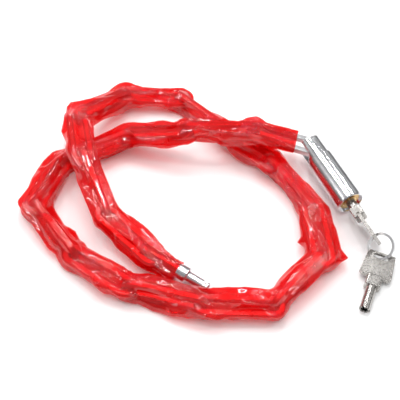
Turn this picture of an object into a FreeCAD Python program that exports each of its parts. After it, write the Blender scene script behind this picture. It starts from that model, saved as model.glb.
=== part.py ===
import FreeCAD, Part
import math
import os
import Sketcher
from FreeCAD import Placement, Rotation, Vector

# Chain lock: a long-link square-bar chain in a clear film sleeve.
# One end carries a cylindrical lock with a tubular key, the other end its locking pin.
# Millimetres, +Z up. The lock lies on the plane Z = 0, and the origin is under the middle of the box.

doc = FreeCAD.newDocument("chain_lock")

# Driving dimensions
SIZES = {
    # chain link: square bar with rounded edges, bent to a long loop
    "link_bar": 4.5,
    "link_inner_length": 50.0,
    "link_inner_width": 7.0,
    "link_edge_round": 1.0,
    # play between the crossing bars of two neighbours, and the slack of the loosely laid half
    "link_play": 1.1,
    "link_slack": 4.0,
    # film sleeve
    "sleeve_film": 0.5,
    "sleeve_height": 18.0,
    "sleeve_joint_width": 21.5,
    "sleeve_joint_height": 17.0,
    "sleeve_edge_width": 20.0,
    "sleeve_flat_width": 23.0,
    "sleeve_flat_height": 15.0,
    "sleeve_corner_share": 0.46,
    "sleeve_bend_reach": 9.0,
    "sleeve_split_gap": 0.4,
    "crossing_gap": 0.6,
    "lock_mouth_width": 24.0,
    "lock_mouth_height": 11.0,
    "lock_mouth_reach": 29.0,
    "lock_mouth_shift": 3.0,
    "pin_mouth_reach": 23.0,
    "pin_mouth_width": 17.0,
    "pin_mouth_height": 13.6,
    # lock body, along its own X from the rivet to the key face
    "lock_diameter": 20.0,
    "lock_length": 60.0,
    "lock_chamfer": 0.8,
    "head_diameter": 17.5,
    "head_length": 17.0,
    "head_reach": 6.0,
    "fork_slot_height": 9.8,
    "fork_slot_depth": 9.6,
    "rivet_diameter": 4.4,
    "rivet_fit": 0.02,
    "rivet_end_gap": 0.05,
    "face_recess": 2.0,
    "face_rim": 1.2,
    # locking pin and the socket across the lock body
    "shank_diameter": 8.0,
    "shank_clearance": 0.3,
    "socket_place": 17.0,
    "socket_seat": 8.0,
    "socket_wall": 1.5,
    "collar_diameter": 12.0,
    "collar_length": 7.0,
    "collar_place": 24.0,
    "pin_head_diameter": 11.0,
    "pin_head_reach": 5.5,
    "pin_fork_height": 6.4,
    "pin_fork_depth": 12.0,
    "pin_rivet_diameter": 4.0,
    "groove_diameter": 5.0,
    "groove_width": 3.0,
    "pin_tip_gap": 0.5,
    "pin_tip_chamfer": 1.0,
    # cylinder: housing, turning core and what turns with it
    "housing_diameter": 15.0,
    "housing_fit": 0.03,
    "housing_back": 26.0,
    "shear_setback": 24.0,
    "core_diameter": 10.0,
    "core_fit": 0.05,
    "core_proud": 1.0,
    "spindle_diameter": 4.0,
    "spring_plate_thick": 1.6,
    "cam_disc_diameter": 12.0,
    "cam_disc_thick": 2.0,
    "cam_disc_place": 21.7,
    "cam_stub_diameter": 2.6,
    "cam_stub_orbit": 4.5,
    "cam_stub_tip": 19.6,
    "cam_chamber_gap": 0.5,
    "cam_float": 0.2,
    "tumbler_diameter": 1.3,
    "tumbler_clearance": 0.05,
    "driver_share": 0.4,
    "spring_wall": 0.25,
    "retainer_diameter": 2.0,
    "retainer_place": 44.0,
    "retainer_core_gap": 0.7,
    "retainer_end_gap": 0.15,
    # tubular key
    "key_barrel_diameter": 7.0,
    "key_barrel_bore": 5.0,
    "key_barrel_length": 18.0,
    "key_barrel_clearance": 0.1,
    "key_insertion": 12.0,
    "key_neck_length": 8.0,
    "key_neck_width": 10.5,
    "key_neck_thick": 8.0,
    "key_bow_length": 21.0,
    "key_bow_foot_width": 21.8,
    "key_bow_top_width": 18.6,
    "key_bow_thick": 2.5,
    "key_bow_shoulder": 2.0,
    "key_slot_length": 10.6,
    "key_slot_width": 3.8,
    "key_slot_margin": 1.7,
    "key_nib_width": 0.8,
    "key_neck_round": 1.2,
    "key_rim_width": 1.0,
    "key_rim_round": 0.25,
    "key_rib_width": 0.7,
    "key_rib_height": 0.3,
    "key_rib_length": 17.0,
    "key_first_cut": 0.4,
    "key_cut_step": 0.3,
    # split ring
    "ring_outer_diameter": 19.0,
    "ring_wire_width": 1.6,
    "ring_wire_height": 1.1,
    "ring_coil_gap": 0.15,
    "ring_turns": 1.9,
}
TUMBLERS = 7
# The depth of each of the seven cuts of the key, in steps
CUTS = [0, 3, 2, 1, 0, 3, 2]

# How the chain lies: the heading of each link in degrees, seen from above, from the lock to the pin
HEADINGS = [170, -178, 164, -155, -111, -54, -36, -15, -2, 49, 96, 122, 136, 135, 177, -131, -79, -67, -43]
# The flat links that aren't pulled tight between their neighbours, and the share of the slack each takes up
LOOSE = {0: 0.15, 2: 0.4, 10: 1.0, 12: 1.0, 14: 1.0, 16: 1.0, 18: 1.0}
# How high each joint lies above its rest height, as a share of one sleeve crossing another
LIFTS = [0.38, 1.0, 1.06, 0.13, 0, 0, 0, 0, 0, 0, 0, 0, 0, 0, 0, 0.16, 0.81, 1.07, 0.43, 0.08]
# Where the film lies wider or flatter along one link than elsewhere: link number, width, height
WIDE_FILM = {0: (24.0, 11.5), 7: (23.0, 18.0), 8: (27.0, 14.0)}

# Where the lock lies, and how the pin, the keys and the ring lie from there, in millimetres and degrees
LOCK_PIVOT = (82.3, 35.0)
LOCK_HEADING = -65.0
LOCK_TILT = 3.1
CYLINDER_ROLL = -62.0
PIN_TURN = 12.0
PIN_TILT = 8.0
# From the middle of the first key's slot to the ring's middle, and on to the second key's slot, in ring radii
RING_FROM_KEY_1 = Vector(0.508, -0.748, -0.383)
KEY_2_FROM_RING = Vector(-0.070, -0.830, -0.377)
RING_NORMAL = Vector(-0.547, -0.418, 0.726)
RING_START = -31.4
KEY_2_HEADING = 68.8
KEY_2_TILT = 1.55
KEY_2_ROLL = 4.5
# The turn of the raised rib across the bow
RIB_TURN = 28.0

sheet = doc.addObject("Spreadsheet::Sheet", "sizes")
for row, (name, amount) in enumerate(SIZES.items(), start=1):
    sheet.set("A%d" % row, str(amount))
    sheet.setAlias("A%d" % row, name)
doc.recompute()


def size(name):
    return float(sheet.get(name))


def cells(text):
    """Write an expression with bare aliases, such as 'link_bar / 2', as one that reads the sheet."""
    words = []
    for word in text.replace("(", " ( ").replace(")", " ) ").split():
        words.append("sizes." + word if word in SIZES else word)
    return " ".join(words)


# Small builders shared by the sub-parts
TURN = {
    "X": Rotation(Vector(0, 1, 0), 90),
    "Y": Rotation(Vector(1, 0, 0), -90),
    "Z": Rotation(),
}


def put(piece, at, axis="Z"):
    piece.Placement = Placement(Vector(), TURN[axis])
    for letter, text in zip("xyz", at):
        piece.setExpression("Placement.Base." + letter, cells(text))
    return piece


def cylinder(name, radius, height, at=("0", "0", "0"), axis="X"):
    piece = doc.addObject("Part::Cylinder", name)
    piece.setExpression("Radius", cells(radius))
    piece.setExpression("Height", cells(height))
    return put(piece, at, axis)


def cone(name, start_radius, end_radius, height, at=("0", "0", "0"), axis="X"):
    piece = doc.addObject("Part::Cone", name)
    piece.setExpression("Radius1", cells(start_radius))
    piece.setExpression("Radius2", cells(end_radius))
    piece.setExpression("Height", cells(height))
    return put(piece, at, axis)


def box(name, length, width, height, at):
    piece = doc.addObject("Part::Box", name)
    piece.setExpression("Length", cells(length))
    piece.setExpression("Width", cells(width))
    piece.setExpression("Height", cells(height))
    return put(piece, at)


def fuse(name, pieces):
    joined = doc.addObject("Part::MultiFuse", name)
    joined.Shapes = pieces
    return joined


def cut(name, base, tools):
    result = doc.addObject("Part::Cut", name)
    result.Base = base
    result.Tool = tools[0] if len(tools) == 1 else fuse(name + "_cuts", tools)
    return result


def group(name, pieces):
    gathered = doc.addObject("Part::Compound", name)
    gathered.Links = pieces
    return gathered


NODES = []


def node(piece, label, frame):
    piece.Label = label
    piece.Placement = frame
    NODES.append(piece)


def origin_plane(body, role):
    for feature in body.Origin.OriginFeatures:
        if feature.Role == role:
            return feature
    raise ValueError(role)


def flat_sketch(body, name):
    sketch = body.newObject("Sketcher::SketchObject", name)
    sketch.AttachmentSupport = [(origin_plane(body, "XY_Plane"), "")]
    sketch.MapMode = "FlatFace"
    return sketch


def bind(sketch, constraint, name, text):
    index = sketch.addConstraint(constraint)
    sketch.renameConstraint(index, name)
    sketch.setExpression("Constraints." + name, cells(text))


def value(text):
    """What an expression with bare aliases comes to, worked out in a spare cell of the sheet."""
    sheet.set("C1", "=" + text)
    sheet.recompute()
    return float(sheet.get("C1"))


def slot(sketch, name, straight_text, radius_text):
    """A closed slot along the sketch's X, centred on its origin."""
    straight = value(straight_text)
    radius = value(radius_text)
    half = straight / 2
    quarter = math.pi / 2
    top, right, bottom, left = sketch.addGeometry([
        Part.LineSegment(Vector(-half, radius, 0), Vector(half, radius, 0)),
        Part.ArcOfCircle(Part.Circle(Vector(half, 0, 0), Vector(0, 0, 1), radius), -quarter, quarter),
        Part.LineSegment(Vector(half, -radius, 0), Vector(-half, -radius, 0)),
        Part.ArcOfCircle(Part.Circle(Vector(-half, 0, 0), Vector(0, 0, 1), radius), quarter, 3 * quarter),
    ])
    new = Sketcher.Constraint
    sketch.addConstraint([
        new("Tangent", top, 2, right, 2),
        new("Tangent", right, 1, bottom, 1),
        new("Tangent", bottom, 2, left, 2),
        new("Tangent", left, 1, top, 1),
        new("Symmetric", right, 3, left, 3, -1, 1),
        new("Horizontal", top),
    ])
    bind(sketch, new("DistanceX", left, 3, right, 3, straight), name + "_straight", straight_text)
    bind(sketch, new("Radius", right, radius), name + "_radius", radius_text)


def slot_across(sketch, name, straight_text, radius_text, place_text):
    """A closed slot along the sketch's Y, centred on its X axis at the given place."""
    straight = value(straight_text)
    radius = value(radius_text)
    place = value(place_text)
    half = straight / 2
    left, top, right, bottom = sketch.addGeometry([
        Part.LineSegment(Vector(place - radius, -half, 0), Vector(place - radius, half, 0)),
        Part.ArcOfCircle(Part.Circle(Vector(place, half, 0), Vector(0, 0, 1), radius), 0, math.pi),
        Part.LineSegment(Vector(place + radius, half, 0), Vector(place + radius, -half, 0)),
        Part.ArcOfCircle(Part.Circle(Vector(place, -half, 0), Vector(0, 0, 1), radius), math.pi, 2 * math.pi),
    ])
    new = Sketcher.Constraint
    sketch.addConstraint([
        new("Tangent", left, 2, top, 2),
        new("Tangent", top, 1, right, 1),
        new("Tangent", right, 2, bottom, 2),
        new("Tangent", bottom, 1, left, 1),
        new("Symmetric", top, 3, bottom, 3, -1),
    ])
    bind(sketch, new("DistanceY", bottom, 3, top, 3, straight), name + "_straight", straight_text)
    bind(sketch, new("Radius", top, radius), name + "_radius", radius_text)
    bind(sketch, new("DistanceX", -1, 1, top, 3, place), name + "_place", place_text)


def polygon(sketch, name, corners):
    """A closed polygon whose corners are pairs of expressions."""
    start = [Vector(value(x), value(y), 0) for x, y in corners]
    count = len(corners)
    lines = sketch.addGeometry([Part.LineSegment(start[i], start[(i + 1) % count]) for i in range(count)])
    new = Sketcher.Constraint
    for i, line in enumerate(lines):
        sketch.addConstraint(new("Coincident", line, 2, lines[(i + 1) % count], 1))
    for i, line in enumerate(lines):
        x, y = corners[i]
        bind(sketch, new("DistanceX", -1, 1, line, 1, start[i].x), "%s_x%d" % (name, i), x)
        bind(sketch, new("DistanceY", -1, 1, line, 1, start[i].y), "%s_y%d" % (name, i), y)


def pad(body, name, sketch, length):
    feature = body.newObject("PartDesign::Pad", name)
    feature.Profile = sketch
    feature.SideType = "Symmetric"
    feature.setExpression("Length", cells(length))
    return feature


def round_off(body, name, feature, radius):
    doc.recompute()
    rounding = body.newObject("PartDesign::Fillet", name)
    rounding.Base = (feature, [])
    rounding.UseAllEdges = True
    rounding.setExpression("Radius", cells(radius))
    return rounding


def rod(name, radius, length, chamfer, at=("0", "0", "0"), axis="X"):
    """A cylinder with a chamfer at each end, built along its axis from the given start."""
    along = "XYZ".index(axis)

    def step(distance):
        place = list(at)
        place[along] = "%s + %s" % (at[along], distance)
        return tuple(place)

    small = "%s - %s" % (radius, chamfer)
    return fuse(name, [
        cone(name + "_start", small, radius, chamfer, at, axis),
        cylinder(name + "_middle", radius, "%s - 2 * %s" % (length, chamfer), step(chamfer), axis),
        cone(name + "_end", radius, small, chamfer, step("%s - %s" % (length, chamfer)), axis),
    ])


# Chain: where each joint and each link lies
LINKS = len(HEADINGS)
bar = size("link_bar")
inner_length = size("link_inner_length")
cross_step = bar + size("link_play")
seat = bar / 2 + size("link_play")
rest_height = size("sleeve_height") / 2
crossing_rise = size("sleeve_height") + size("crossing_gap")
joint_heights = [rest_height + share * crossing_rise for share in LIFTS]


def lies_flat(number):
    return number % 2 == 0


def turn_at(joint):
    """The turn of the chain at a joint, seen from above, in radians."""
    if joint == 0 or joint == LINKS:
        return 0.0
    return math.radians(HEADINGS[joint] - HEADINGS[joint - 1])


def slack_of(number):
    return size("link_slack") * LOOSE.get(number, 0.0)


def joint_span(number):
    """The distance between the two upright bars that a link lies between, or that end it."""
    if not lies_flat(number):
        return inner_length + bar
    return inner_length - 2 * seat - slack_of(number)


def slope_of(number):
    rise = joint_heights[number + 1] - joint_heights[number]
    if not lies_flat(number):
        return math.asin(rise / (joint_span(number) - 2 * cross_step))
    step = cross_step + slack_of(number) / 2
    reach = [0.0 if joint in (0, LINKS) else step * math.cos(turn_at(joint)) for joint in (number, number + 1)]
    return math.atan2(rise, joint_span(number) + sum(reach))


def pose(place, heading, slope, upright=False):
    """A placement whose X follows a heading and a slope in degrees and radians."""
    level = math.radians(heading)
    forward = Vector(math.cos(level) * math.cos(slope), math.sin(level) * math.cos(slope), math.sin(slope))
    side = Vector(-math.sin(level), math.cos(level), 0)
    up = forward.cross(side)
    if upright:
        return Placement(place, Rotation(forward, up, side * -1, "XYZ"))
    return Placement(place, Rotation(forward, side, up, "XYZ"))


joints = [Vector(LOCK_PIVOT[0], LOCK_PIVOT[1], 0)]
link_frames = []
for number in range(LINKS):
    level = math.radians(HEADINGS[number])
    run = joint_span(number) * math.cos(slope_of(number))
    start = joints[-1]
    end = start + Vector(math.cos(level) * run, math.sin(level) * run, 0)
    height = (joint_heights[number] + joint_heights[number + 1]) / 2
    middle = (start + end) / 2 + Vector(0, 0, height)
    link_frames.append(pose(middle, HEADINGS[number], slope_of(number), not lies_flat(number)))
    joints.append(end)
for joint, height in zip(joints, joint_heights):
    joint.z = height

# Each link: a closed bar, padded from two slots and rounded on every edge
for number in range(LINKS):
    name = "link_%02d" % (number + 1)
    link = doc.addObject("PartDesign::Body", name)
    outline = flat_sketch(link, name + "_outline")
    slot(outline, "inner", "link_inner_length - link_inner_width", "link_inner_width / 2")
    slot(outline, "outer", "link_inner_length - link_inner_width", "link_inner_width / 2 + link_bar")
    bent_bar = pad(link, name + "_bar", outline, "link_bar")
    round_off(link, name + "_rounding", bent_bar, "link_edge_round")
    node(link, name, link_frames[number])


# Film sleeve: rings of film round the chain, from the mouth at the lock to the mouth at the pin
def film_ring(frame, width, height):
    """A rounded rectangle of film across the frame's X axis."""
    half_width = width / 2
    half_height = height / 2
    corner = size("sleeve_corner_share") * min(width, height)
    flat_y = half_width - corner
    flat_z = half_height - corner
    diagonal = corner * math.sqrt(0.5)
    arcs = []
    for y_side, z_side in ((1, 1), (-1, 1), (-1, -1), (1, -1)):
        side = Vector(0, y_side * half_width, z_side * flat_z)
        bulge = Vector(0, y_side * (flat_y + diagonal), z_side * (flat_z + diagonal))
        top = Vector(0, y_side * flat_y, z_side * half_height)
        arcs.append((side, bulge, top) if y_side == z_side else (top, bulge, side))
    edges = []
    for i, (first, bulge, last) in enumerate(arcs):
        edges.append(Part.Arc(first, bulge, last).toShape())
        edges.append(Part.LineSegment(last, arcs[(i + 1) % len(arcs)][0]).toShape())
    ring = Part.Wire(edges)
    ring.Placement = frame
    return ring


def film_tube(rings):
    """A hollow tube through rings of film, each a frame with a width and a height."""
    film = 2 * size("sleeve_film")
    outside = Part.makeLoft([film_ring(frame, wide, high) for frame, wide, high in rings], True, True)
    inside = Part.makeLoft([film_ring(frame, wide - film, high - film) for frame, wide, high in rings], True, True)
    return outside.cut(inside)


def film_size(number):
    """The width and height of the film along a link."""
    if number in WIDE_FILM:
        return WIDE_FILM[number]
    if lies_flat(number):
        return size("sleeve_flat_width"), size("sleeve_flat_height")
    return size("sleeve_edge_width"), size("sleeve_height")


def film_along(number, distance):
    """The ring of film at a distance from the middle of a link."""
    place = link_frames[number].multVec(Vector(distance, 0, 0))
    wide, high = film_size(number)
    return pose(place, HEADINGS[number], slope_of(number)), wide, high


def film_before_bend(number, end):
    """The ring of film near one end of a link, where the bend starts: -1 is its start and 1 its end."""
    return film_along(number, end * (joint_span(number) / 2 - size("sleeve_bend_reach")))


def film_bend(joint, step=0.0):
    """The ring of film in a bend, round the upright bar, moved along the chain by a step."""
    standing = joint if not lies_flat(joint) else joint - 1
    end = -1 if standing == joint else 1
    place = link_frames[standing].multVec(Vector(end * joint_span(standing) / 2, 0, 0))
    turn = (HEADINGS[joint] - HEADINGS[joint - 1] + 180) % 360 - 180
    slope = (slope_of(joint) + slope_of(joint - 1)) / 2
    frame = pose(place, HEADINGS[joint - 1] + turn / 2, slope)
    frame.Base = frame.multVec(Vector(step, 0, 0))
    width = size("sleeve_joint_width") / math.cos(math.radians(turn / 2))
    return frame, width, size("sleeve_joint_height")


def sleeve(name, rings):
    film = doc.addObject("Part::Feature", name)
    film.Shape = film_tube(rings)
    node(film, name, Placement())


# The film is split in every bend, so that each length of it can follow its own link
FIRST_BEND = 1
LAST_BEND = LINKS - 1
half_gap = size("sleeve_split_gap") / 2
for number in range(FIRST_BEND, LAST_BEND):
    sleeve("sleeve_%02d" % (number + 1), [
        film_bend(number, half_gap),
        film_before_bend(number, -1),
        film_before_bend(number, 1),
        film_bend(number + 1, -half_gap),
    ])

lock_mouth = link_frames[0].copy()
lock_mouth.Base = lock_mouth.multVec(
    Vector(joint_span(0) / 2 - size("lock_mouth_reach"), -size("lock_mouth_shift"), 0))
sleeve("sleeve_lock_end", [
    (lock_mouth, size("lock_mouth_width"), size("lock_mouth_height")),
    film_before_bend(0, 1),
    film_bend(FIRST_BEND, -half_gap),
])

pin_frame = pose(joints[LINKS], HEADINGS[-1] + PIN_TURN, math.radians(-PIN_TILT))
pin_mouth = pin_frame.copy()
pin_mouth.Base = pin_mouth.multVec(Vector(size("pin_mouth_reach"), 0, 0))
pin_bend = pose(joints[LINKS], HEADINGS[-1] + PIN_TURN / 2, math.radians(-PIN_TILT))
sleeve("sleeve_pin_end", [
    film_bend(LAST_BEND, half_gap),
    film_before_bend(LINKS - 1, -1),
    film_before_bend(LINKS - 1, 1),
    (pin_bend, size("sleeve_joint_width"), size("sleeve_flat_height")),
    (pin_mouth, size("pin_mouth_width"), size("pin_mouth_height")),
])

# Lock body: a stepped round bar with a fork for the first link, a socket across it for the pin,
# a chamber for the cam and a bore for the cylinder
lock_frame = pose(joints[0], LOCK_HEADING, math.radians(-LOCK_TILT))
roll = Rotation(Vector(1, 0, 0), CYLINDER_ROLL)
cylinder_frame = Placement(lock_frame.Base, lock_frame.Rotation.multiply(roll))
FACE = "( lock_length - head_reach )"
HOUSING_FACE = "( lock_length - head_reach - face_recess )"
PLATE_BACK = "( housing_back - spring_plate_thick )"
# The plane on which the core turns, and the drivers' share of the room behind it
SHEAR = "( lock_length - shear_setback )"
DRIVER = "( ( lock_length - shear_setback - housing_back ) * driver_share )"
ORBIT = "( key_barrel_diameter + key_barrel_bore ) / 4"


def fork_slot(name, height, depth, reach, width):
    """The cut of a fork: open at the end and on both sides, with a round bottom."""
    half = "( %s / 2 )" % height
    return [
        box(name + "_opening", "%s + 1 + %s - %s" % (reach, depth, half), "%s + 2" % width, height,
            ("- %s - 1" % reach, "- %s / 2 - 1" % width, "- " + half)),
        cylinder(name + "_bottom", half, "%s + 2" % width,
                 ("%s - %s" % (depth, half), "- %s / 2 - 1" % width, "0"), "Y"),
    ]


STUB_ROOM = "( cam_stub_diameter / 2 + cam_float )"
STUB_END = "( cam_stub_tip - cam_float )"
STUB_DEPTH = "( cam_disc_place - cam_stub_tip + cam_float )"


def stub_path(name, radius):
    """A quarter disc in the shell, swept by the cam's stub from its rest to the pin's groove."""
    quarter = cylinder("shell_path_" + name, radius, STUB_DEPTH, (STUB_END, "0", "0"))
    quarter.Angle = 90
    quarter.Placement.Rotation = Rotation(Vector(1, 0, 0), -90).multiply(TURN["X"])
    return quarter


retainer_hole = cylinder("shell_retainer_hole", "retainer_diameter / 2 + rivet_fit", "lock_diameter",
                         ("retainer_place", "0", "0"), "Y")
retainer_hole.Placement.Rotation = roll.multiply(TURN["Y"])
lock_shell = cut("lock_shell_body", fuse("shell_bar", [
    rod("shell_head", "head_diameter / 2", "head_length + 2 * lock_chamfer", "lock_chamfer",
        ("- head_reach", "0", "0")),
    rod("shell_barrel", "lock_diameter / 2", "lock_length - head_length", "lock_chamfer",
        ("head_length - head_reach", "0", "0")),
]), fork_slot("shell_fork", "fork_slot_height", "fork_slot_depth", "head_reach", "head_diameter") + [
    cylinder("shell_rivet_hole", "rivet_diameter / 2 + rivet_fit", "head_diameter + 2",
             ("0", "0", "- head_diameter / 2 - 1"), "Z"),
    cylinder("shell_socket", "shank_diameter / 2 + shank_clearance", "lock_diameter",
             ("socket_place", "socket_wall - lock_diameter / 2", "0"), "Y"),
    cylinder("shell_socket_seat", "collar_diameter / 2 + shank_clearance", "lock_diameter",
             ("socket_place", "socket_seat", "0"), "Y"),
    cylinder("shell_cam_chamber", "cam_disc_diameter / 2 + cam_chamber_gap",
             "%s - cam_disc_place + 2 * cam_float" % PLATE_BACK, ("cam_disc_place - cam_float", "0", "0")),
    cut("shell_stub_path", stub_path("outside", "cam_stub_orbit + %s" % STUB_ROOM),
        [stub_path("inside", "cam_stub_orbit - %s" % STUB_ROOM)]),
    cylinder("shell_stub_start", STUB_ROOM, STUB_DEPTH, (STUB_END, "0", "- cam_stub_orbit")),
    cylinder("shell_stub_stop", STUB_ROOM, STUB_DEPTH, (STUB_END, "- cam_stub_orbit", "0")),
    cylinder("shell_housing_bore", "housing_diameter / 2 + housing_fit", "%s - %s + 1" % (FACE, PLATE_BACK),
             (PLATE_BACK, "0", "0")),
    cylinder("shell_face_recess", "lock_diameter / 2 - face_rim", "face_recess + 1", (HOUSING_FACE, "0", "0")),
    retainer_hole,
])
node(lock_shell, "lock_shell", lock_frame)


def rivet(name, diameter, head, frame):
    """A plain rivet across a forked head, a little short of the head's surface at both ends."""
    bar = cylinder(name + "_bar", "%s / 2" % diameter, "%s - 2 * rivet_end_gap" % head,
                   ("0", "0", "rivet_end_gap - %s / 2" % head), "Z")
    node(group(name + "_body", [bar]), name, frame)


rivet("lock_rivet", "rivet_diameter", "head_diameter", lock_frame)


# Cylinder: a fixed housing and a turning core, with seven tumblers on a ring round the key post
def on_orbit(name, radius, start, end, offset="0"):
    """Seven round bars along X, spread on the tumblers' ring, with one end reaching further by its own step."""
    bars = []
    for i in range(TUMBLERS):
        angle = 2 * math.pi * (i + 0.5) / TUMBLERS
        longer = offset if offset == "0" else "%s * %d" % (offset, CUTS[i])
        bars.append(cylinder("%s_%d" % (name, i + 1), radius, "( %s ) - ( %s ) + %s" % (end, start, longer), (
            start, "%s * %.5f" % (ORBIT, -math.sin(angle)), "%s * %.5f" % (ORBIT, math.cos(angle)))))
    return bars


cylinder_housing = cut("housing_body", cylinder(
    "housing_bar", "housing_diameter / 2", "%s - housing_back" % HOUSING_FACE, ("housing_back", "0", "0")
), on_orbit("driver_hole", "tumbler_diameter / 2 + tumbler_clearance", "housing_back - 1", SHEAR + " + 1") + [
    cylinder("housing_core_bore", "core_diameter / 2 + core_fit", "lock_length", (SHEAR, "0", "0")),
    cylinder("housing_spindle_hole", "spindle_diameter / 2 + core_fit", "lock_length", ("0", "0", "0")),
    cylinder("housing_retainer_hole", "retainer_diameter / 2 + rivet_fit", "lock_diameter",
             ("retainer_place", "0", "0"), "Y"),
])
node(cylinder_housing, "cylinder_housing", cylinder_frame)

CORE_FACE = "( lock_length - head_reach - face_recess + core_proud )"
KEY_TIP = "( lock_length - head_reach - face_recess + core_proud - key_insertion )"
keyway = cut("keyway_ring", cylinder(
    "keyway_outside", "key_barrel_diameter / 2 + key_barrel_clearance", "key_insertion + 1",
    (KEY_TIP + " - 2 * key_barrel_clearance", "0", "0"),
), [cylinder("keyway_inside", "key_barrel_bore / 2 - key_barrel_clearance", "key_insertion + 2",
             (KEY_TIP + " - 1", "0", "0"))])
cylinder_core = cut("core_body", fuse("core_bars", [
    cylinder("core_bar", "core_diameter / 2", "%s - %s - core_fit" % (CORE_FACE, SHEAR),
             (SHEAR + " + core_fit", "0", "0")),
    cylinder("core_spindle", "spindle_diameter / 2", SHEAR + " - cam_disc_place + 1", ("cam_disc_place", "0", "0")),
]), on_orbit("key_pin_hole", "tumbler_diameter / 2 + tumbler_clearance", SHEAR + " - 1",
               KEY_TIP + " + key_first_cut + %d * key_cut_step" % max(CUTS)) + [
    keyway,
    box("post_slot", "key_insertion + 1", "key_nib_width + 2 * key_barrel_clearance", "key_nib_width",
        (KEY_TIP + " - 2 * key_barrel_clearance", "- key_nib_width / 2 - key_barrel_clearance",
         "key_barrel_bore / 2 - key_nib_width - key_barrel_clearance")),
])
node(cylinder_core, "cylinder_core", cylinder_frame)

# The tumblers stand as the key holds them: their joints lie on the shear plane
node(group("key_pin_bars", on_orbit(
    "key_pin", "tumbler_diameter / 2", SHEAR + " + 2 * core_fit", KEY_TIP + " - core_fit + key_first_cut",
    "key_cut_step")), "key_pins", cylinder_frame)
node(group("driver_bars", on_orbit(
    "driver_pin", "tumbler_diameter / 2", "%s - %s" % (SHEAR, DRIVER), SHEAR + " - core_fit",
)), "driver_pins", cylinder_frame)
spring_bars = on_orbit("spring_outside", "tumbler_diameter / 2", "housing_back + core_fit",
                       "%s - %s - core_fit" % (SHEAR, DRIVER))
spring_holes = on_orbit("spring_inside", "tumbler_diameter / 2 - spring_wall", "housing_back - 1",
                        "%s - %s" % (SHEAR, DRIVER))
node(group("spring_tubes", [
    cut("spring_%d" % (i + 1), outside, [hole]) for i, (outside, hole) in enumerate(zip(spring_bars, spring_holes))
]), "tumbler_springs", cylinder_frame)

node(cut("plate_body", cylinder(
    "plate_disc", "housing_diameter / 2", "spring_plate_thick - core_fit", (PLATE_BACK, "0", "0")
), [cylinder("plate_hole", "spindle_diameter / 2 + core_fit", "lock_length", ("0", "0", "0"))]),
    "spring_plate", cylinder_frame)
node(group("retainer_body", [cylinder(
    "retainer_bar", "retainer_diameter / 2",
    "lock_diameter / 2 - retainer_end_gap - core_diameter / 2 - retainer_core_gap",
    ("retainer_place", "core_diameter / 2 + retainer_core_gap", "0"), "Y",
)]), "retaining_pin", cylinder_frame)

# Cam: turned by the core, its stub drops into the groove of the pin
node(cut("cam_body", fuse("cam_pieces", [
    cylinder("cam_disc", "cam_disc_diameter / 2", "cam_disc_thick", ("cam_disc_place", "0", "0")),
    cylinder("cam_stub", "cam_stub_diameter / 2", "cam_disc_place - cam_stub_tip + 1",
             ("cam_stub_tip", "0", "- cam_stub_orbit")),
]), [cylinder("cam_hole", "spindle_diameter / 2 + rivet_fit", "lock_length", ("0", "0", "0"))]),
    "locking_cam", lock_frame)

# Locking pin: a forked head with a collar, and a shank whose groove the cam catches
GROOVE_START = "( collar_place + collar_length + socket_seat + cam_stub_orbit - groove_width / 2 )"
PIN_TIP = "( collar_place + collar_length + socket_seat + lock_diameter / 2 - socket_wall - pin_tip_gap )"
locking_pin = cut("pin_body", fuse("pin_bars", [
    rod("pin_head", "pin_head_diameter / 2", "pin_head_reach + collar_place + 2 * lock_chamfer", "lock_chamfer",
        ("- pin_head_reach", "0", "0")),
    rod("pin_collar", "collar_diameter / 2", "collar_length", "lock_chamfer", ("collar_place", "0", "0")),
    cylinder("pin_shank", "shank_diameter / 2", GROOVE_START + " - collar_place", ("collar_place", "0", "0")),
    cylinder("pin_groove", "groove_diameter / 2", PIN_TIP + " - collar_place", ("collar_place", "0", "0")),
    cylinder("pin_tip", "shank_diameter / 2", "%s - pin_tip_chamfer - %s - groove_width" % (PIN_TIP, GROOVE_START),
             (GROOVE_START + " + groove_width", "0", "0")),
    cone("pin_point", "shank_diameter / 2", "shank_diameter / 2 - pin_tip_chamfer", "pin_tip_chamfer",
         (PIN_TIP + " - pin_tip_chamfer", "0", "0")),
]), fork_slot("pin_fork", "pin_fork_height", "pin_fork_depth", "pin_head_reach", "pin_head_diameter") + [
    cylinder("pin_rivet_hole", "pin_rivet_diameter / 2 + rivet_fit", "pin_head_diameter + 2",
             ("0", "0", "- pin_head_diameter / 2 - 1"), "Z"),
])
node(locking_pin, "locking_pin", pin_frame)
rivet("pin_rivet", "pin_rivet_diameter", "pin_head_diameter", pin_frame)

# Keys: a tube with seven notches in its tip, pressed into the neck of a flat bow with a slot for the ring
BOW_FOOT = "( key_barrel_length + key_neck_length )"
BOW_END = "( key_barrel_length + key_neck_length + key_bow_length )"
SLOT_PLACE = "( key_barrel_length + key_neck_length + key_bow_length - key_slot_margin - key_slot_width / 2 )"
EMBEDDED = "key_neck_length * 3 / 8"


def bow_outline(inset):
    """The corners of the bow, drawn in by an inset."""
    foot = "( key_bow_foot_width / 2 - %s )" % inset
    top = "( key_bow_top_width / 2 - %s )" % inset
    corners = [
        ("%s + %s" % (BOW_FOOT, inset), foot + " - key_bow_shoulder"),
        ("%s + key_bow_shoulder" % BOW_FOOT, foot),
        ("%s - %s" % (BOW_END, inset), top),
    ]
    return [(x, "- ( %s )" % y) for x, y in corners] + corners[::-1]


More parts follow.
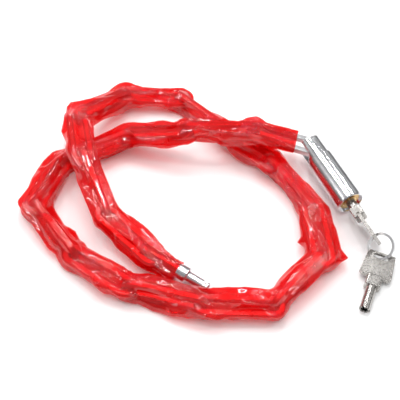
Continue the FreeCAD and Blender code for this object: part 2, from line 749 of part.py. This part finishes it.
def key(name, frame):
    plate = doc.addObject("PartDesign::Body", name + "_plate")
    outline = flat_sketch(plate, name + "_plate_outline")
    polygon(outline, "bow", bow_outline("key_rib_width / 2"))
    slot_across(outline, "slot", "key_slot_length - key_slot_width", "key_slot_width / 2", SLOT_PLACE)
    pad(plate, name + "_plate_pad", outline, "key_bow_thick - 2 * key_rib_height")

    rim = doc.addObject("PartDesign::Body", name + "_rim")
    edge = flat_sketch(rim, name + "_rim_outline")
    polygon(edge, "outside", bow_outline("0"))
    polygon(edge, "inside", bow_outline("key_rim_width"))
    round_off(rim, name + "_rim_rounding", pad(rim, name + "_rim_pad", edge, "key_bow_thick"), "key_rim_round")

    neck = doc.addObject("PartDesign::Body", name + "_neck")
    block = flat_sketch(neck, name + "_neck_outline")
    half = "key_neck_width / 2"
    polygon(block, "block", [
        ("key_barrel_length", "- " + half), (BOW_FOOT + " + key_neck_round", "- " + half),
        (BOW_FOOT + " + key_neck_round", half), ("key_barrel_length", half),
    ])
    round_off(neck, name + "_neck_rounding", pad(neck, name + "_neck_pad", block, "key_neck_thick"), "key_neck_round")

    rib = box(name + "_rib", "key_rib_length", "key_rib_width", "key_bow_thick",
              (BOW_FOOT, "0", "- key_bow_thick / 2"))
    rib.Placement.Rotation = Rotation(Vector(0, 0, 1), RIB_TURN)
    bow = cut(name + "_bow_body", fuse(name + "_bow_pieces", [plate, rim, neck, rib]), [
        cylinder(name + "_barrel_hole", "key_barrel_diameter / 2 + rivet_fit", EMBEDDED + " + 1",
                 ("key_barrel_length - 1", "0", "0")),
    ])
    node(bow, name + "_bow", frame)

    tube = cut(name + "_tube", fuse(name + "_tube_pieces", [
        cut(name + "_tube_bar", cylinder(
            name + "_tube_outside", "key_barrel_diameter / 2", "key_barrel_length + %s" % EMBEDDED,
        ), [cylinder(name + "_tube_bore", "key_barrel_bore / 2", "lock_length", ("- 1", "0", "0"))]),
        box(name + "_nib", "2 * key_nib_width", "key_nib_width", "key_nib_width",
            ("key_barrel_clearance", "- key_nib_width / 2", "key_barrel_bore / 2 - key_nib_width + key_barrel_clearance")),
    ]), on_orbit(name + "_notch", "tumbler_diameter / 2 + 2 * tumbler_clearance", "- 1", "key_first_cut", "key_cut_step"))
    node(tube, name + "_barrel", frame)


key_1_frame = cylinder_frame.copy()
key_1_frame.Base = cylinder_frame.multVec(Vector(value(KEY_TIP), 0, 0))
key("key_1", key_1_frame)

# Split ring: it passes the slots of both keys
SLOT_MIDDLE = Vector(value(SLOT_PLACE), 0, 0)
ring_radius = (size("ring_outer_diameter") - size("ring_wire_width")) / 2
ring_centre = key_1_frame.multVec(SLOT_MIDDLE) + RING_FROM_KEY_1 * ring_radius
coil_pitch = size("ring_wire_height") + size("ring_coil_gap")
coil_height = coil_pitch * size("ring_turns")
coil = Part.makeHelix(coil_pitch, coil_height, ring_radius)
ring_frame = Placement(ring_centre, Rotation(Vector(0, 0, 1), RING_NORMAL))
coil_start = Placement(Vector(0, 0, -coil_height / 2), Rotation(Vector(0, 0, 1), RING_START))
half_width = size("ring_wire_width") / 2
half_height = size("ring_wire_height") / 2
section = Part.makePolygon([
    Vector(ring_radius + half_width * across, 0, half_height * up)
    for across, up in ((-1, -1), (1, -1), (1, 1), (-1, 1), (-1, -1))
])
split_ring = doc.addObject("Part::Feature", "ring")
split_ring.Shape = Part.Wire(coil.Edges).makePipeShell([section], True, True)
node(split_ring, "split_ring", ring_frame.multiply(coil_start))

key_2_frame = pose(Vector(), KEY_2_HEADING, math.radians(KEY_2_TILT))
key_2_frame.Rotation = key_2_frame.Rotation.multiply(Rotation(Vector(1, 0, 0), KEY_2_ROLL))
key_2_frame.Base = ring_centre + KEY_2_FROM_RING * ring_radius - key_2_frame.multVec(SLOT_MIDDLE)
key("key_2", key_2_frame)

# Shift the whole lock so that the origin is under the middle of its box, then check and export every piece
doc.recompute()
box_of_all = FreeCAD.BoundBox()
for piece in NODES:
    box_of_all.add(piece.Shape.optimalBoundingBox())
shift = Vector(-box_of_all.Center.x, -box_of_all.Center.y, -box_of_all.ZMin)
for piece in NODES:
    piece.Placement.Base = piece.Placement.Base + shift
doc.recompute()
for thing in doc.Objects:
    if "Invalid" in thing.State or "Error" in thing.State:
        raise RuntimeError("%s: %s" % (thing.Name, thing.State))
os.makedirs("parts", exist_ok=True)
for piece in NODES:
    if piece.Shape.isNull() or not piece.Shape.isValid():
        raise RuntimeError("bad shape: " + piece.Label)
    piece.Shape.exportStep("parts/%s.step" % piece.Label)
print("shift", shift)
for name, frame in (("lock", lock_frame), ("key_1", key_1_frame), ("ring", ring_frame), ("key_2", key_2_frame),
                    ("pin", pin_frame), ("first_bend", film_bend(FIRST_BEND)[0]),
                    ("last_bend", film_bend(LAST_BEND)[0]), ("lowest_link", link_frames[9])):
    print(name, frame.Base + shift, frame.Rotation.multVec(Vector(1, 0, 0)), frame.Rotation.multVec(Vector(0, 0, 1)))
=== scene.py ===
import math
import bpy
import numpy as np
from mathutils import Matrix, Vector


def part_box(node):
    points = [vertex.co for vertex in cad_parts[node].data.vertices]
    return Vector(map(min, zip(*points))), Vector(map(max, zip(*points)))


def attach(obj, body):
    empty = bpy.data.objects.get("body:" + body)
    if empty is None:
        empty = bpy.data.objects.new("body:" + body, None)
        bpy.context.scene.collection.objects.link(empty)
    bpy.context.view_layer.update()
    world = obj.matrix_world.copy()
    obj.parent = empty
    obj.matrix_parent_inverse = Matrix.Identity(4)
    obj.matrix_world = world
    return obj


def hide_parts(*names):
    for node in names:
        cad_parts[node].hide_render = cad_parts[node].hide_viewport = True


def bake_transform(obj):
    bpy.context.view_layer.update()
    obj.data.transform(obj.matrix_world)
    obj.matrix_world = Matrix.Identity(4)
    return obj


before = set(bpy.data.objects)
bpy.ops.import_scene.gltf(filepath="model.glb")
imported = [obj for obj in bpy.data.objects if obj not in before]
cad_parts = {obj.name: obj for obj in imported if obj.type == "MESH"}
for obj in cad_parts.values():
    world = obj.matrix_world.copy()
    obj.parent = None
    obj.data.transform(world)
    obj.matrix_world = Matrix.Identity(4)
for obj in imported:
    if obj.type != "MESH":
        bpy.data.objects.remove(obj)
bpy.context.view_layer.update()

# Sizes in metres. The film's are half its width and half its height
MM = 0.001
LINKS = 19
EDGE_FILM = (10.0 * MM, 9.0 * MM)
FLAT_FILM = (11.5 * MM, 7.5 * MM)
BEND_FILM = (10.75 * MM, 8.5 * MM)
# Where the film lies wider or flatter than elsewhere, by the number of the link from the lock
WIDE_FILM = {1: (12.0 * MM, 5.75 * MM), 8: (11.5 * MM, 9.0 * MM), 9: (13.5 * MM, 7.0 * MM)}
BEND_REACH = 9.0 * MM
LOCK_MOUTH = (12.0 * MM, 5.5 * MM)
LOCK_MOUTH_REACH = 29.0 * MM
LOCK_MOUTH_SHIFT = 3.0 * MM
PIN_MOUTH = (8.5 * MM, 6.8 * MM)
PIN_MOUTH_REACH = 23.0 * MM
# The film as it was cut: a tube so far round
FILM_ROUND = 66.0 * MM

# The locking pin's head, which the film's mouth is gathered round
PIN_HEAD_RADIUS = 5.6 * MM
PIN_HEAD_RUN = (-5.5 * MM, 26.0 * MM)
# The gap between the film and a link that it is pulled over, and its least reach from its own middle
LINK_ROOM = 0.45 * MM
LEAST_REACH = 2.5 * MM
FLOOR_GAP = 0.15 * MM
# The film's mesh: the step between rings, the points round each, and how far a corner of the route is eased
RING_STEP = 1.2 * MM
AROUND = 80
EASE = 4.0 * MM
# Points taken round the outside of a link or of the pin's head, and where on a bar's rounded edge they lie
ARC_POINTS = 15
RUN_POINTS = 44
PIN_POINTS = 24
BAR_EDGE = 0.55
# How near a link is to a ring that it holds open, in links, and how squarely it has to face the film
NEAR_LINKS = 1.2
LEAST_FACING = 0.15

# The bag that the film could fill: how square its outline is, and the share of it that the film does fill
ROUNDNESS = 2.4
LEAST_FULLNESS = 0.15
MEAN_FULLNESS = 0.82
FULLNESS_SWING = 0.4
# How far folds may stand out of the bag, how far the film is drawn in, and how softly it meets bag and link
BAG_SPARE = 1.4 * MM
FILM_INSET = 1.2 * MM
BAG_SOFTNESS = 0.8 * MM
LINK_SOFTNESS = 0.5 * MM
# Waves that make up a random field over the film, and fields of it: length, most waves round the tube, seed
WAVES = 7
FULLNESS_FIELD = (55 * MM, 2, 3)
LONG_FIELD = (80 * MM, 3, 5)
SHORT_FIELD = (34 * MM, 4, 8)
FINE_FIELD = (15 * MM, 6, 9)
GATHER_FIELD = (7 * MM, 3, 6)
DENT_FIELD = (36 * MM, 2, 12)
# Height and sharpness of the folds on those fields, and the depth of the dents
LONG_FOLDS = (2.7 * MM, 1.1)
SHORT_FOLDS = (0.45 * MM, 1.4)
FINE_FOLDS = (0.1 * MM, 1.5)
GATHERS = (0.9 * MM, 1.2)
DENT_DEPTH = 1.2 * MM
# Points of loose film: millimetres from the lock's mouth, side in radians, height, half length, half width
LEFT, OVER, RIGHT = 0.0, math.pi / 2, math.pi
FIN_TAPER = 1.5
FINS = [
    (262, LEFT, 2.5, 8, 0.5), (300, OVER, 2.0, 9, 0.4), (345, OVER, 2.5, 12, 0.35),
    (407, OVER - 0.3, 5.5, 5, 0.4), (426, OVER + 0.2, 6.5, 5, 0.45), (477, RIGHT, 4.5, 3.5, 0.35),
    (488, LEFT, 3.5, 4, 0.4), (663, OVER, 3.5, 5, 0.5), (706, OVER, 3.5, 5, 0.5),
    (752, OVER + 0.9, 3.5, 6, 0.5), (771, RIGHT - 0.2, 3.5, 15, 0.4), (884, OVER, 2.5, 8, 0.4),
]
# How far into a bend the film is: at the lock's mouth, beside the pin's rivet, and from the rivet on
MOUTH_BENT = 0.1
NEAR_PIN_BENT = 0.2
PIN_BENT = 0.8
# The film's stations on each link: two on its straight and one in the bend after it
STATIONS_PER_LINK = 3

# Camera: it looks down at the middle of the lock from the photograph's side
CAMERA_LENS = 81.0
CAMERA_SENSOR = 36.0
CAMERA_DISTANCE = 0.645
CAMERA_ELEVATION = 50.0
CAMERA_AIM = Vector((-1.782 * MM, 1.200 * MM, 0.071 * MM))

# Stage: how far the table reaches, and its paper
TABLE_REACH = 6.0
PAPER_COLOUR = (0.97, 0.97, 0.97, 1.0)
# The studio as metal and film mirror it: greys from the horizon up to straight overhead
STUDIO_GREYS = [(0.0, 0.15), (0.3, 0.25), (0.55, 0.6), (0.7, 0.22), (1.0, 0.4)]
STUDIO_FILL = (0.55, 0.55, 0.55, 1.0)
WHITE = (1.0, 1.0, 1.0, 1.0)
# Strips of light: azimuth and elevation in degrees, width and length in metres
LIGHT_DISTANCE = 0.95
LIGHT_POWER = 1.45
STRIPS = [
    (100, 48, 0.012, 0.7), (60, 62, 0.01, 0.5), (140, 58, 0.01, 0.5), (0, 50, 0.02, 0.6),
    (180, 46, 0.02, 0.6), (-90, 72, 0.01, 0.4), (90, 80, 0.03, 0.4),
]

camera = bpy.data.cameras.new("camera")
camera.lens = CAMERA_LENS
camera.sensor_width = CAMERA_SENSOR
camera.clip_start = 0.01
view = bpy.data.objects.new("camera", camera)
elevation = math.radians(CAMERA_ELEVATION)
view.location = CAMERA_AIM + CAMERA_DISTANCE * Vector((0, -math.cos(elevation), math.sin(elevation)))
view.rotation_euler = (math.pi / 2 - elevation, 0, 0)
bpy.context.scene.collection.objects.link(view)
bpy.context.scene.camera = view
bpy.context.scene.view_settings.view_transform = "Standard"


# Materials
def material(name, **values):
    """A Principled material with the given sockets set, its tree and its shader."""
    made = bpy.data.materials.new(name)
    made.use_nodes = True
    tree = made.node_tree
    shader = tree.nodes["Principled BSDF"]
    for socket, value in values.items():
        shader.inputs[socket.replace("_", " ")].default_value = value
    return made, tree, shader


def add(tree, kind, inputs=None, **settings):
    """A node with its settings, and its inputs set to values or linked from other sockets."""
    made = tree.nodes.new("ShaderNode" + kind)
    for key, value in settings.items():
        setattr(made, key, value)
    for key, value in (inputs or {}).items():
        if isinstance(value, bpy.types.NodeSocket):
            tree.links.new(value, made.inputs[key])
        else:
            made.inputs[key].default_value = value
    return made


def noise(tree, scale, detail):
    """Noise over the piece, in its own coordinates."""
    place = add(tree, "TexCoord").outputs["Object"]
    made = add(tree, "TexNoise", {"Vector": place, "Scale": scale, "Detail": detail, "Roughness": 0.55})
    return made.outputs["Fac"]


def ramp(tree, source, stops):
    """A colour ramp through (position, colour) stops."""
    made = add(tree, "ValToRGB", {"Fac": source})
    elements = made.color_ramp.elements
    while len(elements) < len(stops):
        elements.new(0.5)
    for element, (position, colour) in zip(elements, stops):
        element.position = position
        element.color = (*colour, 1.0)
    return made.outputs["Color"]


def grey(value):
    return (value, value, value)


def bump(tree, shader, height, strength, distance):
    made = add(tree, "Bump", {"Height": height, "Strength": strength, "Distance": distance})
    tree.links.new(made.outputs["Normal"], shader.inputs["Normal"])


def metal(name, colour, dark, rough, grain=900.0, worn=0.12):
    """Plated or plain metal: slow tarnish in its colour, fine scratches in its roughness and bump."""
    made, tree, shader = material(name, Metallic=1.0)
    tarnish = ramp(tree, noise(tree, scale=90.0, detail=6.0), [(0.38, dark), (0.62, colour)])
    tree.links.new(tarnish, shader.inputs["Base Color"])
    scratches = noise(tree, scale=grain, detail=3.0)
    tree.links.new(ramp(tree, scratches, [(0.3, grey(rough)), (0.75, grey(rough + worn))]),
                   shader.inputs["Roughness"])
    bump(tree, shader, scratches, strength=0.25, distance=0.04 * MM)
    return made


def film_material():
    """Clear glossy red film: a red tint for what is behind it, under a hard gloss."""
    made, tree, shader = material("red_film", Roughness=0.06, IOR=1.5, Specular_IOR_Level=0.6,
                                  Coat_Weight=1.0, Coat_Roughness=0.03, Coat_IOR=1.65)
    clouds = noise(tree, scale=60.0, detail=3.0)
    cloudy = ramp(tree, clouds, [(0.35, (0.60, 0.002, 0.004)), (0.7, (0.88, 0.006, 0.006))])
    tree.links.new(cloudy, shader.inputs["Base Color"])
    bump(tree, shader, noise(tree, scale=260.0, detail=3.0), strength=0.06, distance=0.3 * MM)
    clear = add(tree, "BsdfTransparent", {"Color": (1.0, 0.085, 0.09, 1.0)})
    mixed = add(tree, "MixShader", {0: 0.40, 1: clear.outputs["BSDF"], 2: shader.outputs["BSDF"]})
    tree.links.new(mixed.outputs["Shader"], tree.nodes["Material Output"].inputs["Surface"])
    return made


chrome = metal("lock_chrome", (0.80, 0.80, 0.82), (0.70, 0.70, 0.72), 0.10, worn=0.14)
zinc = metal("chain_zinc", (0.80, 0.80, 0.81), (0.66, 0.66, 0.68), 0.28)
turned = metal("pin_chrome", (0.78, 0.78, 0.80), (0.62, 0.62, 0.64), 0.16)
nickel = metal("key_nickel", (0.50, 0.48, 0.46), (0.40, 0.38, 0.36), 0.22, grain=600.0)
ring_wire = metal("ring_nickel", (0.74, 0.74, 0.75), (0.60, 0.60, 0.61), 0.16)
brass = metal("brass", (0.72, 0.50, 0.24), (0.50, 0.32, 0.13), 0.22)
steel = metal("spring_steel", (0.50, 0.50, 0.52), (0.38, 0.38, 0.40), 0.30)
film = film_material()

finishes = {
    chrome: ["lock_shell", "lock_rivet"],
    zinc: ["link_%02d" % number for number in range(1, LINKS + 1)],
    turned: ["locking_pin", "pin_rivet"],
    nickel: ["key_1_bow", "key_1_barrel", "key_2_bow", "key_2_barrel"],
    ring_wire: ["split_ring"],
    brass: ["cylinder_housing", "cylinder_core", "key_pins", "driver_pins", "retaining_pin"],
    steel: ["tumbler_springs", "spring_plate", "locking_cam"],
}
for finish, nodes in finishes.items():
    for node in nodes:
        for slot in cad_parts[node].material_slots:
            slot.material = finish


# Chain: where each link lies, read from its solid
def corners(name):
    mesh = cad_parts[name].data
    places = np.empty(len(mesh.vertices) * 3)
    mesh.vertices.foreach_get("co", places)
    return places.reshape(-1, 3)


def link_place(number):
    """The middle of a link, its axes from the thinnest to the longest, and its reach along each."""
    places = corners("link_%02d" % number)
    middle = (places.min(axis=0) + places.max(axis=0)) / 2
    _, axes = np.linalg.eigh(np.cov((places - middle).T))
    reach = np.abs((places - middle) @ axes).max(axis=0)
    return middle, axes, reach


def unit(vector):
    return vector / np.linalg.norm(vector)


links = {number: link_place(number) for number in range(1, LINKS + 1)}
directions = {}
for number, (middle, axes, _) in links.items():
    onward = links[number + 1][0] - middle if number < LINKS else middle - links[number - 1][0]
    directions[number] = axes[:, 2] * np.sign(axes[:, 2] @ onward)

pin_pivot = np.array(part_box("pin_rivet")).mean(axis=0)
pin_places = corners("locking_pin")
pin_way = np.linalg.eigh(np.cov((pin_places - pin_places.mean(axis=0)).T))[1][:, 2]
pin_way *= np.sign(pin_way[0])


def lies_flat(number):
    return number % 2 == 1


def link_rim(number):
    """Points all round the outside of a link's bar."""
    middle, axes, (half_bar, half_width, half_length) = links[number]
    straight = half_length - half_width
    bar_line = half_width - half_bar
    arc = np.linspace(-math.pi / 2, math.pi / 2, ARC_POINTS)
    run = np.linspace(-straight, straight, RUN_POINTS)
    line = []
    for angle in arc:
        out_x, out_y = math.cos(angle), math.sin(angle)
        line.append((straight + bar_line * out_x, bar_line * out_y, out_x, out_y))
    line += [(-x, -y, -out_x, -out_y) for x, y, out_x, out_y in line]
    line += [(x, side * bar_line, 0.0, float(side)) for x in run for side in (-1, 1)]
    rim = []
    for out, over in ((1.0, BAR_EDGE), (1.0, -BAR_EDGE), (BAR_EDGE, 1.0), (BAR_EDGE, -1.0)):
        for x, y, out_x, out_y in line:
            rim.append((over * half_bar, y + out * half_bar * out_y, x + out * half_bar * out_x))
    return middle + np.array(rim) @ axes.T


def pin_rim():
    """Points all round the outside of the locking pin's head."""
    spokes = np.linspace(0, 2 * math.pi, PIN_POINTS, endpoint=False)
    angle, run = np.meshgrid(spokes, np.arange(*PIN_HEAD_RUN, RING_STEP))
    aside = unit(np.cross(pin_way, [0.0, 0.0, 1.0]))
    over = np.cross(aside, pin_way)
    rim = run[..., None] * pin_way + PIN_HEAD_RADIUS * (
        np.cos(angle)[..., None] * aside + np.sin(angle)[..., None] * over)
    return pin_pivot + rim.reshape(-1, 3)


rims = {number: link_rim(number) for number in links}
rims[LINKS + 1] = pin_rim()

# Film route: stations along the chain, then rings at equal steps through them.
# Each is a row of numbers: its middle's x, y and z, then these
HEADING, SLOPE, HALF_WIDTH, HALF_HEIGHT, BENT, LINK = range(3, 9)


def station(place, direction, half, bent, number):
    """A row for the film at a place: its heading, slope and half sizes, how far into a bend, and its link."""
    heading = math.atan2(direction[1], direction[0])
    slope = math.asin(direction[2] / np.linalg.norm(direction))
    return [*place, heading, slope, *half, bent, number]


def film_half(number):
    return WIDE_FILM.get(number, FLAT_FILM if lies_flat(number) else EDGE_FILM)


def bend_place(joint):
    """The upright bar between a link and the next: it is the end bar of the one that stands on edge."""
    number, end = (joint, 1) if not lies_flat(joint) else (joint + 1, -1)
    middle, _, (half_bar, _, half_length) = links[number]
    return middle + directions[number] * end * (half_length - half_bar)


def near_bend(number, end):
    """The station on a link where its film begins to bend, at its far end or its near end."""
    middle = links[number][0]
    near = bend_place(number if end > 0 else number - 1)
    step = abs((near - middle) @ directions[number]) - BEND_REACH
    place = middle + directions[number] * end * step
    return station(place, directions[number], film_half(number), 0.0, number)


def bend(joint):
    before = directions[joint]
    after = directions[joint + 1]
    onward = unit(before + after)
    half = (BEND_FILM[0] / float(before @ onward), BEND_FILM[1])
    return station(bend_place(joint), onward, half, 1.0, joint + 0.5)


def tube_route(stations, step):
    """Rings at equal steps through the stations, with the corners eased, and each station's distance."""
    table = np.array(stations)
    table[:, HEADING] = np.unwrap(table[:, HEADING])
    lengths = np.linalg.norm(np.diff(table[:, :3], axis=0), axis=1)
    places = np.concatenate([[0.0], np.cumsum(lengths)])
    at = np.linspace(0.0, places[-1], int(places[-1] / step) + 1)
    rings = np.stack([np.interp(at, places, column) for column in table.T], axis=1)
    half = int(EASE / step)
    kernel = np.hanning(2 * half + 3)[1:-1]
    kernel /= kernel.sum()
    longer = np.pad(rings, ((half, half), (0, 0)), mode="reflect", reflect_type="odd")
    eased = np.stack([np.convolve(column, kernel, mode="valid") for column in longer.T], axis=1)
    return at, eased, places


def ring_axes(rings):
    """The onward, the side and the up direction of each ring."""
    heading, slope = rings[:, HEADING], rings[:, SLOPE]
    level = np.stack([np.cos(heading), np.sin(heading), np.zeros_like(heading)], axis=-1)
    side = np.stack([-np.sin(heading), np.cos(heading), np.zeros_like(heading)], axis=-1)
    rise = np.array([0.0, 0.0, 1.0])
    onward = level * np.cos(slope)[:, None] + rise * np.sin(slope)[:, None]
    up = rise * np.cos(slope)[:, None] - level * np.sin(slope)[:, None]
    return onward, side, up


# Film shape: how far it reaches from its middle, ring by ring and all round
def link_reach(rings, turn):
    """How far film pulled tight over the links would reach in each direction, ring by ring."""
    onward, side, up = ring_axes(rings)
    tight = np.full((len(rings), len(turn)), LEAST_REACH)
    for i, ring in enumerate(rings):
        near = [rims[number] for number in rims if abs(number - ring[LINK]) < NEAR_LINKS]
        inside = np.concatenate(near) - ring[:3]
        inside = inside[np.abs(inside @ onward[i]) < RING_STEP]
        if len(inside):
            across = np.outer(inside @ side[i], np.cos(turn)) + np.outer(inside @ up[i], np.sin(turn))
            tight[i] = np.maximum(tight[i], across.max(axis=0) + LINK_ROOM)
    ends = np.concatenate([tight[:1], tight, tight[-1:]])
    tight = np.maximum(tight, np.maximum(ends[:-2], ends[2:]))
    ahead = np.cos(turn[:, None] - turn[None, :])
    facing = ahead > LEAST_FACING
    limits = np.where(facing, tight[:, None, :] / np.where(facing, ahead, 1.0), np.inf)
    return limits.min(axis=2)


def waves(at, turn, length, most_round, seed):
    """A smooth random field over the film, with features about so long and up to so many round the tube."""
    draw = np.random.default_rng(seed)
    total = np.zeros_like(at)
    for _ in range(WAVES):
        along = draw.uniform(-1.0, 1.0) / length
        around = draw.integers(-most_round, most_round + 1)
        total += np.sin(2 * math.pi * along * at + around * turn + draw.uniform(0, 2 * math.pi))
    return total / math.sqrt(WAVES / 2)


def smooth_greater(one, other, soft):
    return (one + other + np.sqrt((one - other) ** 2 + soft ** 2)) / 2


def film_shape(at, rings):
    """The reach of the gathered film in each direction, ring by ring."""
    turn = np.linspace(0, 2 * math.pi, AROUND, endpoint=False)
    along, across = np.meshgrid(at, turn, indexing="ij")
    wide, high, bent = (rings[:, i][:, None] for i in (HALF_WIDTH, HALF_HEIGHT, BENT))

    def folds(kind, field):
        """Crests so high and so sharp, where a random field passes zero."""
        height, sharpness = kind
        return height * np.clip(1 - sharpness * np.abs(waves(along, across, *field)), 0, 1)

    tight = link_reach(rings, turn)
    round_wide = np.abs(np.cos(across) / wide) ** ROUNDNESS
    round_high = np.abs(np.sin(across) / high) ** ROUNDNESS
    bag = (round_wide + round_high) ** (-1 / ROUNDNESS)
    fullness = MEAN_FULLNESS + FULLNESS_SWING * waves(along, across, *FULLNESS_FIELD)
    loose = tight + np.maximum(bag - tight, 0.0) * np.clip(fullness, LEAST_FULLNESS, 1.0)
    dents = DENT_DEPTH * np.clip(waves(along, across, *DENT_FIELD), 0, 1)
    crests = folds(LONG_FOLDS, LONG_FIELD) + folds(SHORT_FOLDS, SHORT_FIELD) + folds(FINE_FOLDS, FINE_FIELD)
    folded = loose - dents + crests + bent ** 2 * folds(GATHERS, GATHER_FIELD) - FILM_INSET
    room = bag + BAG_SPARE
    folded = room - smooth_greater(room - folded, 0.0, BAG_SOFTNESS)
    for place, side, height, half_length, half_width in FINS:
        aside = np.abs((across - side + math.pi) % (2 * math.pi) - math.pi)
        peak = np.clip(1 - np.abs(along - place * MM) / (half_length * MM), 0, 1)
        folded += height * MM * peak * np.clip(1 - aside / half_width, 0, 1) ** FIN_TAPER
    return turn, smooth_greater(tight, folded, LINK_SOFTNESS)


def film_mesh(name, rings, turn, reach):
    """An open tube of film through the rings."""
    _, side, up = ring_axes(rings)
    across = (reach * np.cos(turn))[..., None] * side[:, None]
    upward = (reach * np.sin(turn))[..., None] * up[:, None]
    places = rings[:, None, :3] + across + upward
    places[..., 2] = np.maximum(places[..., 2], FLOOR_GAP)
    index = np.arange(places.shape[0] * AROUND).reshape(-1, AROUND)
    following = np.roll(index, -1, axis=1)
    faces = np.stack([index[:-1], following[:-1], following[1:], index[1:]], axis=-1).reshape(-1, 4)
    mesh = bpy.data.meshes.new(name)
    mesh.from_pydata(places.reshape(-1, 3).tolist(), [], faces.tolist())
    mesh.polygons.foreach_set("use_smooth", [True] * len(mesh.polygons))
    mesh.materials.append(film)
    piece = bpy.data.objects.new(name, mesh)
    bpy.context.scene.collection.objects.link(piece)
    return piece


mouth_side = np.array([-directions[1][1], directions[1][0], 0.0])
lock_mouth = bend_place(1) - directions[1] * LOCK_MOUTH_REACH - mouth_side * LOCK_MOUTH_SHIFT
before_pin = pin_pivot - directions[LINKS] * BEND_REACH
pin_mouth = pin_pivot + pin_way * PIN_MOUTH_REACH

stations = [station(lock_mouth, directions[1], LOCK_MOUTH, MOUTH_BENT, 1), near_bend(1, 1), bend(1)]
for number in range(2, LINKS):
    stations += [near_bend(number, -1), near_bend(number, 1), bend(number)]
stations += [
    near_bend(LINKS, -1),
    station(before_pin, directions[LINKS], FLAT_FILM, NEAR_PIN_BENT, LINKS),
    station(pin_pivot, unit(directions[LINKS] + pin_way), (BEND_FILM[0], FLAT_FILM[1]), PIN_BENT, LINKS),
    station(pin_mouth, pin_way, PIN_MOUTH, PIN_BENT, LINKS),
]
at, rings, places = tube_route(stations, RING_STEP)
turn, reach = film_shape(at, rings)


def middle_ring(number):
    """The ring halfway between the two stations on a link's straight."""
    first = STATIONS_PER_LINK * (number - 1)
    return int(np.searchsorted(at, (places[first] + places[first + 1]) / 2))


# One tube of film, cut where it lies straight into a middle and pieces near the ends
lock_cut, pin_cut, mouth_cut = (middle_ring(number) for number in (2, LINKS - 1, LINKS))
cuts = {
    "film_lock_end": (0, lock_cut),
    "film_middle": (lock_cut, pin_cut),
    "film_pin_end": (pin_cut, mouth_cut),
    "film_pin_mouth": (mouth_cut, len(at) - 1),
}
films = {name: film_mesh(name, rings[a:b + 1], turn, reach[a:b + 1]) for name, (a, b) in cuts.items()}
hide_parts("sleeve_lock_end")
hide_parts(*["sleeve_%02d" % number for number in range(2, LINKS)])
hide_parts("sleeve_pin_end")
# A width for each piece: the long middle as a tube laid flat, half as wide, and the short pieces as tube cut
# open
for name, (a, b) in cuts.items():
    width = FILM_ROUND / 2 if name == "film_middle" else FILM_ROUND


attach(films["film_middle"], "chain")
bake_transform(films["film_lock_end"])
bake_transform(films["film_pin_end"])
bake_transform(films["film_pin_mouth"])

# Stage: a white table that keeps the shadows, a white world, and soft strips of light
table_mesh = bpy.data.meshes.new("table")
quarters = ((-1, -1), (1, -1), (1, 1), (-1, 1))
table_mesh.from_pydata([(x * TABLE_REACH, y * TABLE_REACH, 0) for x, y in quarters], [], [(0, 1, 2, 3)])
table = bpy.data.objects.new("table", table_mesh)
bpy.context.scene.collection.objects.link(table)
paper, _, _ = material("paper", Base_Color=PAPER_COLOUR, Roughness=0.9, Specular_IOR_Level=0.1)
table_mesh.materials.append(paper)

world = bpy.data.worlds.new("studio")
bpy.context.scene.world = world
world.use_nodes = True
sky = world.node_tree
path = add(sky, "LightPath")
ray = add(sky, "TexCoord").outputs["Generated"]
upward = add(sky, "SeparateXYZ", {0: ray}).outputs["Z"]
studio = ramp(sky, upward, [(position, grey(value)) for position, value in STUDIO_GREYS])
seen = add(sky, "Mix", {0: path.outputs["Is Glossy Ray"], 6: STUDIO_FILL, 7: studio}, data_type="RGBA")
shown = add(sky, "Mix", {0: path.outputs["Is Camera Ray"], 6: seen.outputs[2], 7: WHITE}, data_type="RGBA")
sky.links.new(shown.outputs[2], sky.nodes["Background"].inputs["Color"])


def strip_light(name, place, width, length):
    """A soft strip of light aimed at the middle of the lock."""
    lamp = bpy.data.lights.new(name, "AREA")
    lamp.shape = "RECTANGLE"
    lamp.size = width
    lamp.size_y = length
    lamp.energy = LIGHT_POWER
    holder = bpy.data.objects.new(name, lamp)
    holder.location = place
    holder.rotation_euler = (-place).to_track_quat("-Z", "Y").to_euler()
    bpy.context.scene.collection.objects.link(holder)


for number, (azimuth, height, width, length) in enumerate(STRIPS, start=1):
    level = math.radians(azimuth)
    rise = math.radians(height)
    place = Vector((math.cos(rise) * math.cos(level), math.cos(rise) * math.sin(level), math.sin(rise)))
    strip_light("strip_%d" % number, LIGHT_DISTANCE * place, width, length)
